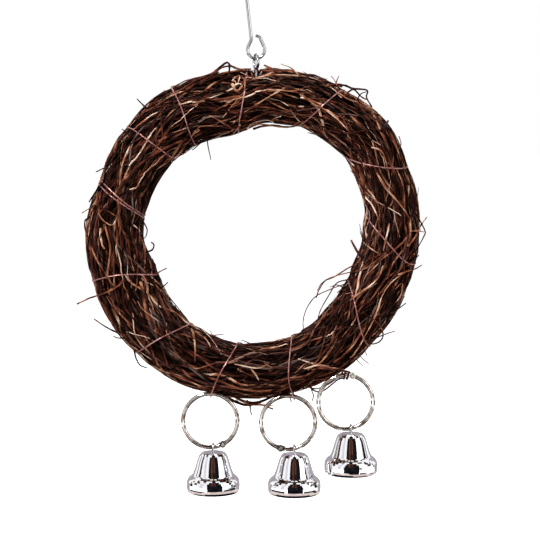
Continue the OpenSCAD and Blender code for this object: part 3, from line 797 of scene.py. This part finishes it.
# %% Whiskers all round
WHISKERS, WHISKER_POINTS, WHISKER_REACH = 70, 7, 16.4
for _ in range(WHISKERS):
    start, front = chance.uniform(0, 360), chance.uniform(15, 345)
    at_rings = 240 < start < 325 and (front < 100 or front > 300)
    if at_rings:
        continue
    around = start + chance.choice([-1, 1]) * np.linspace(0, chance.uniform(4, 11), WHISKER_POINTS)
    lift = np.linspace(-1.5, chance.uniform(0.4, 1.9), WHISKER_POINTS)
    toward = front + np.linspace(0, chance.normal() * 14, WHISKER_POINTS)
    route = on_bundle(around, toward, np.minimum(bundle_surface(around, toward) + lift, WHISKER_REACH))
    radii = np.linspace(0.36, 0.18, WHISKER_POINTS) * MM * chance.uniform(0.7, 1.3)
    loose.add(route, radii, twig_shade(), grey=0.2)
loose.piece("twigs_loose", "vine", twig_bark)

# %% [markdown]
# ## Slack twig at the third ring
# The third ring isn't held by the tie wire. A slack twig leaves the bundle, winds round the ring's fixed half beside
# the hinge and goes back. The solid model has one plain loop here, and the real twig is thinner and lies closer.

# %% Slack twig
hinge_low, hinge_high = np.array(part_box("ring_3_rivet"))
to_hinge = (hinge_low + hinge_high) / 2 - ring_mids[2]
hinge_turn = np.degrees(np.arctan2(to_hinge[2], to_hinge[0]))
SLACK_R, WRAP_ROOM = 0.5, 0.45  # mm
WRAP_START, WRAP_LENGTH, WRAP_TURNS = 8, 11, 1.5  # degrees of the ring from its hinge, and turns round its wire
wrap = np.linspace(0, 1, 26)
wrap_turn = np.radians(hinge_turn + WRAP_START + WRAP_LENGTH * wrap)
wrap_phase = np.radians(30 + 360 * WRAP_TURNS * wrap)
radial = np.stack([np.cos(wrap_turn), 0 * wrap, np.sin(wrap_turn)], axis=-1)
wrap_r = ring_wire_r + (SLACK_R + WRAP_ROOM) * MM
wrap_route = ring_mids[2] + radial * (ring_rs[2] + wrap_r * np.cos(wrap_phase))[:, None]
wrap_route[:, 1] -= wrap_r * np.sin(wrap_phase)
slack_in = [seen(318, 368, 0.4), seen(329, 369, 0.8), seen(338, 370, 1.2)]
slack_out = [seen(px, py, 0.3, beyond) for px, py, beyond in
             [(338, 379.5, 10), (330.5, 385.5, 8), (322, 391.5, 6), (315, 391, 5), (308, 386, 5)]]
slack_route = smooth_route(np.concatenate([slack_in, wrap_route, slack_out]), 3)
slack = Bunch(8)
slack.add(slack_route, np.linspace(1.1, 0.75, len(slack_route)) * SLACK_R * MM, 0.46, lumps=0.03)
slack_piece = slack.piece("slack_twig", "vine", twig_bark)
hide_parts("vine_loop")

# %% [markdown]
# ## Tie wire
# One thin copper-coloured wire holds the bundle. Its pinkish lacquer has worn, and it was pulled tight by hand, so it
# lies on the highest twigs and wavers a little. Two of its turns also go over the wire of a hung ring and hold it.

# %% Copper wire's finish
copper = Finish("tie_wire_copper")
along_wire = copper.node("ShaderNodeAttribute", {"attribute_name": "grain"}, out=1)
wear = copper.noise(copper.stretched(along_wire, (1.0, 1.0, 0.25)), 1.6)
dents = copper.noise(along_wire, 2.2, 2.0)
lacquer = copper.blend((0.32, 0.1, 0.09, 1), (0.7, 0.38, 0.34, 1), copper.spread(wear, 0.42, 0.62))
copper.fill(copper.shader, {
    "Base Color": copper.blend(lacquer, (0.12, 0.04, 0.04, 1), copper.spread(dents, 0.6, 0.72, 0, 0.7)),
    "Metallic": copper.spread(wear, 0.3, 0.7, 0.35, 0.7),
    "Roughness": copper.spread(dents, 0.3, 0.7, 0.25, 0.42),
    "Normal": copper.bump(dents, 0.25, 0.05 * MM),
})
print("copper finish ready")

# %% Tie wire
WIRE_R = 0.31
OVER_TURN = 4  # this turn lies beside the one before it, and a little over it
HOLDS = {7: (38.0, 15.65), 8: (31.4, 16.55)}  # turns that hold a ring: its angle to the front, and mm from the middle
HOLD_ROOM, HOLD_WIDTH = 0.3, 13
wire_route = []
for turn in range(pass_count):
    front = np.arange(0, 360, 6.0)
    around = wire_around(turn, front) + 0.25 * np.sin(np.radians(3 * front + 50 * turn))
    r = bundle_surface(around, front) + WIRE_R + 0.12 * np.sin(np.radians(5 * front + 80 * turn))
    r = r + 0.1 - 0.45 * np.cos(np.radians(front)) ** 4
    if turn == OVER_TURN:
        r = r + 0.3 * np.sin(np.radians(front)) ** 2
    if turn in HOLDS:
        hold_front, hold_r = HOLDS[turn]
        r_over = hold_r + ring_wire_r / MM + WIRE_R + HOLD_ROOM
        rise = np.exp(-((np.abs(front - hold_front) / HOLD_WIDTH) ** 2.4))
        r = r + (r_over - r) * rise
    wire_route.append(on_bundle(around, front, r))
tie = Bunch(8)
tie_route = np.concatenate(wire_route)
tie.add(tie_route, np.full(len(tie_route), WIRE_R * MM), 0.5, lumps=0.0)
tie_piece = tie.piece("tie_wire", "copper_wire", copper.material)
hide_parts("binding_wire")

# %% [markdown]
# ## Metal
# Three metals meet here. The hanger, screw eye and links are bright steel wire with faint draw lines, and the rivets
# and clappers are duller steel. The rings are nickel-plated, a little warmer, with brown patches that are partly
# tarnish and partly painted dark reflection. The bells are thin pressed sheet with mirror chrome, so their
# reflections waver. Flat grey would hide all of this, so each metal has its own noise in colour, roughness and
# height.

# %% Metal finishes


def metal(name, bright, dull, smooth, rough, grain, wave, clean=(0.56, 0.76), edge=(1.0, 1.0, 1.0)):
    """Metal with duller patches, a grain of fine lines and a slow wave of so many mm in its height. The patches
    begin and are full at the two values of clean, and edge tints what is mirrored at a low angle."""
    finish = Finish(name)
    place = finish.node("ShaderNodeTexCoord", out="Object")
    patches = finish.noise(place, 260.0, 3.0)
    lines = finish.noise(finish.stretched(place, grain), 900.0, 2.0)
    slow = finish.noise(place, 190.0, 1.0)
    dullness = finish.spread(patches, *clean)
    finish.fill(finish.shader, {
        "Base Color": finish.blend((*bright, 1), (*dull, 1), dullness),
        "Metallic": 1.0,
        "Specular Tint": (*edge, 1),
        "Roughness": finish.spread(lines * 0.5 + dullness * 0.5, 0.15, 0.75, smooth, rough),
        "Normal": finish.bump(slow + lines * 0.04, 0.3, wave * MM),
    })
    return finish.material


steel = metal("bright_steel", (0.68, 0.69, 0.71), (0.45, 0.45, 0.47), 0.04, 0.12, (1, 1, 0.15), 0.005,
              edge=(0.2, 0.2, 0.21))
pin_steel = metal("rivet_steel", (0.64, 0.6, 0.54), (0.36, 0.3, 0.25), 0.12, 0.26, (1, 1, 1), 0.02,
                  edge=(0.25, 0.2, 0.18))
# The nickel's dark brown patches are partly tarnish and partly painted dark reflection.
nickel = metal("ring_nickel", (0.8, 0.75, 0.69), (0.24, 0.16, 0.11), 0.04, 0.14, (1, 0.3, 1), 0.01, (0.5, 0.7),
               (0.08, 0.06, 0.05))
chrome = metal("bell_chrome", (0.93, 0.93, 0.95), (0.84, 0.84, 0.88), 0.02, 0.06, (1, 1, 1), 0.02)
clapper_steel = metal("clapper_steel", (0.56, 0.55, 0.54), (0.34, 0.3, 0.27), 0.22, 0.42, (1, 1, 1), 0.1)
print("five metals")

# %% Metals on the frame's pieces
metals = {"hanger_hook": steel, "screw_eye": steel}
for k in RINGS:
    metals.update({f"ring_{k}_half": nickel, f"ring_{k}_gate": nickel, f"ring_{k}_rivet": pin_steel})
    metals.update({f"bell_{k}_shell": chrome, f"bell_{k}_link": steel, f"clapper_{k}": clapper_steel})
for name, material in metals.items():
    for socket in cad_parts[name].material_slots:
        socket.material = material
print(len(metals), "pieces have metal finishes")

# %% [markdown]
# ## Studio
# The photograph has a pure white ground and bright, soft light from all round, with dark things near the camera that
# the bells mirror as bands. The surroundings are white for the camera and in reflections, and give the twigs only a
# tenth of that light. Soft lamps stand at the upper left, at the right and behind. Cards that only reflections see,
# most of them dark, make the bells' bands and the rings' dark edges. A gap between the front cards leaves the rings
# their white line. The floor glows for the camera and in reflections too, and the lamps light it as well.

# %% White surroundings
WORLD_LIGHT = 0.1


class Surroundings(Finish):
    """The world and the nodes in it."""

    def __init__(self, name):
        self.world = bpy.data.worlds.new(name)
        self.world.use_nodes = True
        self.tree = self.world.node_tree
        self.tree.nodes.clear()
        self.sky = self.tree.nodes.new("ShaderNodeOutputWorld")

    def white(self, strength):
        return self.node("ShaderNodeBackground", {}, {"Color": (1, 1, 1, 1), "Strength": strength})


studio = Surroundings("studio")
bpy.context.scene.world = studio.world
shows = studio.node("ShaderNodeMath", {"operation": "ADD", "use_clamp": True},
                    {0: studio.ray("Camera") + studio.ray("Transmission"), 1: studio.ray("Glossy")})
either = studio.node("ShaderNodeMixShader", {}, {0: shows, 1: studio.white(WORLD_LIGHT), 2: studio.white(1.0)})
studio.fill(studio.sky, {"Surface": either})
print("surroundings light at", WORLD_LIGHT)

# %% Lamps


def lamp(name, offset, size, power):
    """Square soft lamp that faces the wreath: offset from its middle and size in metres, and power in watts."""
    data = bpy.data.lights.new(name, "AREA")
    data.size, data.energy = size, power
    light = put(name, data)
    light.location = Vector(wreath_mid) + Vector(offset)
    light.rotation_euler = (-Vector(offset)).to_track_quat("-Z", "Y").to_euler()


lamp("key", (-0.45, -0.75, 0.75), 0.2, 14.5)
lamp("fill", (0.85, -0.6, 0.25), 0.5, 1.6)
lamp("rim", (0.2, 0.7, 0.8), 0.5, 3.5)
print("three lamps")

# %% Cards for reflections
FLOOR_DROP = 95 * MM
FRONT = (-29, 38)  # azimuths of the dark things near the camera
CARD_POINTS = 13
floor_z = solid_box[0][2] - FLOOR_DROP
cards_mid = np.mean(ring_mids, axis=0)


def card_finish(name, colour, streak):
    """Glowing card, so that its shade doesn't hang on the lamps, with upright streaks of a second shade."""
    finish = Finish(name)
    place = finish.node("ShaderNodeTexCoord", out="Object")
    streaks = finish.noise(finish.stretched(place, (1.0, 1.0, 0.12)), 8.0, 3.0)
    glow = finish.blend((*colour, 1), (*streak, 1), finish.spread(streaks, 0.44, 0.58))
    finish.fill(finish.shader, {
        "Base Color": (0.0, 0.0, 0.0, 1), "Roughness": 1.0, "Specular IOR Level": 0.0, "Emission Color": glow,
        "Emission Strength": 1.0})
    return finish.material


def stage_sheet(name, corners, material):
    """Sheet of corners in rows, which only reflections see."""
    rows, columns = corners.shape[:2]
    faces = [[r * columns + c, r * columns + c + 1, (r + 1) * columns + c + 1, (r + 1) * columns + c]
             for r in range(rows - 1) for c in range(columns - 1)]
    mesh = bpy.data.meshes.new(name)
    mesh.from_pydata(corners.reshape(-1, 3).tolist(), [], faces)
    mesh.materials.append(material)
    sheet = put(name, mesh)
    sheet.visible_camera = sheet.visible_diffuse = sheet.visible_shadow = sheet.visible_transmission = False


def card(name, azimuths, elevations, distance, material):
    """Curved card round the bells, its distance in metres: azimuth 0 is in front, in degrees to the right."""
    across, up = np.meshgrid(*(np.radians(np.linspace(*ends, CARD_POINTS)) for ends in (azimuths, elevations)))
    corners = cards_mid + distance * np.stack(
        [np.sin(across) * np.cos(up), -np.cos(across) * np.cos(up), np.sin(up)], axis=-1)
    stage_sheet(name, corners, material)


black = card_finish("card_black", (0.004, 0.004, 0.006), (0.012, 0.012, 0.016))
brown = card_finish("card_brown", (0.13, 0.055, 0.035), (0.008, 0.006, 0.006))
pink = card_finish("card_pink", (0.72, 0.58, 0.53), (0.86, 0.8, 0.76))
lilac = card_finish("card_lilac", (0.62, 0.6, 0.68), (0.8, 0.78, 0.84))
grey = card_finish("card_grey", (0.52, 0.47, 0.5), (0.3, 0.27, 0.3))
card("card_front", FRONT, (9, 89), 1.6, black)
card("card_front_low", FRONT, (-6.8, 7.5), 0.5, black)
card("card_front_middle", (-15, 15), (12, 62), 1.5, brown)
card("card_right", (79, 97), (3, 84), 0.9, black)
card("card_over", (151, 218), (55, 89), 1.5, black)
card("card_right_low", (38, 88), (-2, 4), 1.3, black)
card("card_right_thin", (104, 110), (-4, 62), 0.9, black)
card("card_left", (-92, -78), (4, 84), 0.9, brown)
card("card_left_thin", (-112, -106), (-8, 56), 0.9, black)
card("card_left_front", (-60, -46), (-6, 60), 1.4, lilac)
card("card_back", (134, 226), (-3, 84), 1.7, grey)


def floor_card(name, azimuths, radii, material):
    """Flat card on the floor round the point below the bells, from one radius in metres to another."""
    out, turn = np.meshgrid(np.linspace(*radii, 5), np.radians(np.linspace(*azimuths, 25)), indexing="ij")
    corners = [cards_mid[0] + out * np.sin(turn), cards_mid[1] - out * np.cos(turn), 0 * out + floor_z + 2 * MM]
    stage_sheet(name, np.stack(corners, axis=-1), material)


floor_card("floor_dark", (0, 360), (0.001, 0.17), black)
floor_card("floor_pink", (0, 360), (0.17, 0.31), pink)
floor_card("floor_front", FRONT, (0.31, 0.6), black)
floor_card("floor_front_far", FRONT, (1.0, 1.6), black)
for name, azimuths in (("right", (42, 118)), ("left", (-118, -42))):
    floor_card(f"floor_{name}_near", azimuths, (0.31, 0.37), black)
    floor_card(f"floor_{name}_far", azimuths, (0.54, 1.1), black)
floor_card("floor_back", (120, 240), (0.31, 3.0), grey)
print("twenty cards")

# %% Floor
FLOOR_R, FLOOR_SIDES, FLOOR_GLOW = 8, 64, 0.91
floor_finish = Finish("floor_white")
spots = floor_finish.noise(floor_finish.node("ShaderNodeTexCoord", out="Object"), 30.0)
glow = (floor_finish.ray("Camera") + floor_finish.ray("Glossy")) * FLOOR_GLOW
floor_finish.fill(floor_finish.shader, {
    "Base Color": floor_finish.blend((0.8, 0.8, 0.8, 1), (0.77, 0.77, 0.77, 1), spots),
    "Roughness": 0.8,
    "Specular IOR Level": 0.1,
    "Emission Color": floor_finish.blend((0, 0, 0, 1), (1, 1, 1, 1), glow),
    "Emission Strength": 1.0,
})
floor_mesh = bpy.data.meshes.new("floor")
floor_turns = np.linspace(0, 2 * np.pi, FLOOR_SIDES + 1)[:-1]
floor_rim = [(wreath_mid[0] + FLOOR_R * math.cos(t), FLOOR_R * math.sin(t), floor_z) for t in floor_turns]
floor_mesh.from_pydata(floor_rim, [], [list(range(FLOOR_SIDES))])
floor_mesh.materials.append(floor_finish.material)
floor = put("floor", floor_mesh)
print(f"floor at {floor_z / MM:.0f} mm")
